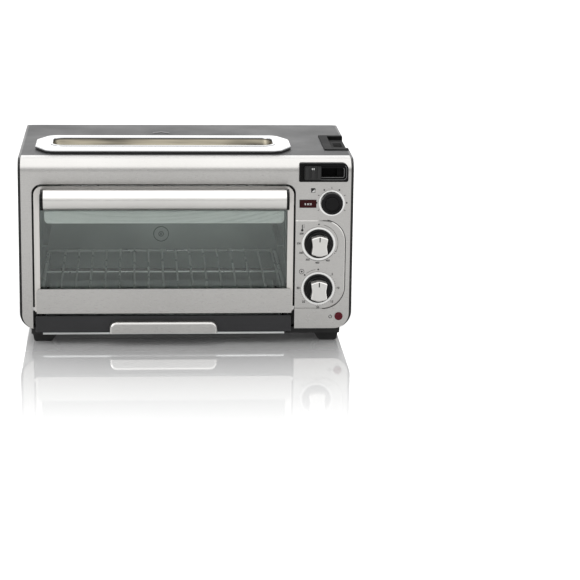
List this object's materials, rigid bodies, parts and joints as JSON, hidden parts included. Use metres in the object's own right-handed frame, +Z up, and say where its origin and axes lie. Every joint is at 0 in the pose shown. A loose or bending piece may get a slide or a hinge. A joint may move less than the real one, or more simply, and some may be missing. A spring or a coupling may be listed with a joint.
{
  "type": "toaster oven",
  "caption": "Countertop toaster oven with a drop-down glass door, a long toast slot in the top, crumb tray, wire rack and rotary controls on the right.",
  "frame": {"origin": "centre of the overall footprint, on the surface the feet stand on", "axes": "+X to the viewer's right, +Y to the back of the oven, +Z up; the door opens towards -Y"},
  "size_m": [0.42, 0.315, 0.243],
  "materials": {
    "base_black": "satin black paint",
    "board_green": "circuit board",
    "brass": "turned",
    "brushed_steel": "brushed along the width",
    "button_red": "dark red gloss",
    "casing_black": "fine moulded texture",
    "cavity_steel": "plain aluminised sheet",
    "ceramic": "unglazed",
    "chrome": "polished",
    "cover_grey": "satin dark grey paint",
    "foot_black": "matt",
    "gloss_black": "gloss",
    "heater_sheath": "dull dark sheath",
    "lamp_red": "translucent dark red",
    "magnet": "coil and steel core",
    "plain_steel": "zinc plated",
    "rack_wire": "plated wire",
    "satin_metal": "satin silver",
    "spring_steel": "plain wire",
    "switch_plastic": "moulded",
    "tinted_glass": "lightly tinted, clear"
  },
  "bodies": {
    "housing": {"fascia": "brushed_steel", "side_panel_left": "casing_black", "side_panel_right": "casing_black", "top_cover": "cover_grey", "back_panel": "base_black", "base_pan": "base_black", "feet": "foot_black", "back_screws": "plain_steel", "rear_spacers": "casing_black", "cord_gland": "casing_black", "front_frame": "base_black", "hinge_brackets": "plain_steel", "cavity_left_wall": "cavity_steel", "cavity_right_wall": "cavity_steel", "cavity_back_wall": "cavity_steel", "ceiling_plates": "cavity_steel", "heating_elements": "heater_sheath", "ceramic_ends": "ceramic", "slot_bezel": "chrome", "slot_bezel_base": "casing_black", "chute_plates": "cavity_steel", "bread_guards": "rack_wire", "guide_rod": "plain_steel", "rod_mounts": "plain_steel", "carriage_spring": "spring_steel", "latch_magnet": "magnet", "lever_insert": "casing_black", "dial_rings": "chrome", "thermostat": "ceramic", "timer": "plain_steel", "shade_control": "switch_plastic", "selector_bezel": "gloss_black", "selector_switch": "switch_plastic", "cancel_switch": "switch_plastic", "control_board": "board_green", "power_lamp": "lamp_red", "terminal_block": "switch_plastic"},
    "door": {"door_frame": "satin_metal", "door_glass": "tinted_glass", "glass_rail": "cavity_steel", "door_panel": "brushed_steel", "handle_bar": "satin_metal", "handle_ends": "gloss_black", "hinge_pins": "plain_steel", "rack_hooks": "plain_steel"},
    "rack": {"wire_rack": "rack_wire"},
    "crumb_tray": {"tray_pan": "cavity_steel", "tray_front": "gloss_black", "tray_handle": "brushed_steel"},
    "lever_carriage": {"lever_knob": "gloss_black", "carriage_bracket": "plain_steel", "bread_carriage": "rack_wire", "guide_bush": "brass"},
    "temp_dial": {"temp_knob": "gloss_black", "temp_grip": "satin_metal"},
    "timer_dial": {"timer_knob": "gloss_black", "timer_grip": "satin_metal"},
    "shade_dial": {"shade_knob": "gloss_black"},
    "selector": {"selector_slider": "gloss_black"},
    "cancel": {"cancel_button": "button_red"}
  },
  "joints": [
    {"name": "door_hinge", "type": "hinge", "parent": "housing", "child": "door", "pos_m": [-0.028, -0.1163, 0.047], "axis": [1, 0, 0], "range_deg": [0, 90], "stiffness_Nm_per_rad": 0.12, "springref_deg": -91.67},
    {"name": "rack_slide", "type": "slide", "parent": "housing", "child": "rack", "axis": [0, -1, 0], "range_m": [0, 0.038]},
    {"name": "crumb_tray_slide", "type": "slide", "parent": "housing", "child": "crumb_tray", "axis": [0, -1, 0], "range_m": [0, 0.11]},
    {"name": "lever_slide", "type": "slide", "parent": "housing", "child": "lever_carriage", "axis": [0, 0, -1], "range_m": [0, 0.075], "stiffness_N_per_m": 150, "springref_m": -0.04, "deforming": ["carriage_spring"]},
    {"name": "temp_knob_turn", "type": "hinge", "parent": "housing", "child": "temp_dial", "pos_m": [0.1668, -0.1195, 0.131], "axis": [0, 1, 0], "range_deg": [0, 300]},
    {"name": "timer_knob_turn", "type": "hinge", "parent": "housing", "child": "timer_dial", "pos_m": [0.1668, -0.1195, 0.073], "axis": [0, 1, 0], "range_deg": [0, 300]},
    {"name": "shade_knob_turn", "type": "hinge", "parent": "housing", "child": "shade_dial", "pos_m": [0.1825, -0.1195, 0.183], "axis": [0, 1, 0], "range_deg": [0, 240]},
    {"name": "selector_slide", "type": "slide", "parent": "housing", "child": "selector", "axis": [1, 0, 0], "range_m": [0, 0.02]},
    {"name": "cancel_press", "type": "slide", "parent": "housing", "child": "cancel", "axis": [0, 1, 0], "range_m": [0, 0.002], "stiffness_N_per_m": 400, "springref_m": -0.002}
  ],
  "couplings": [
    {"joint": "rack_slide", "follows": "door_hinge", "m_per_rad": 0.024}
  ]
}
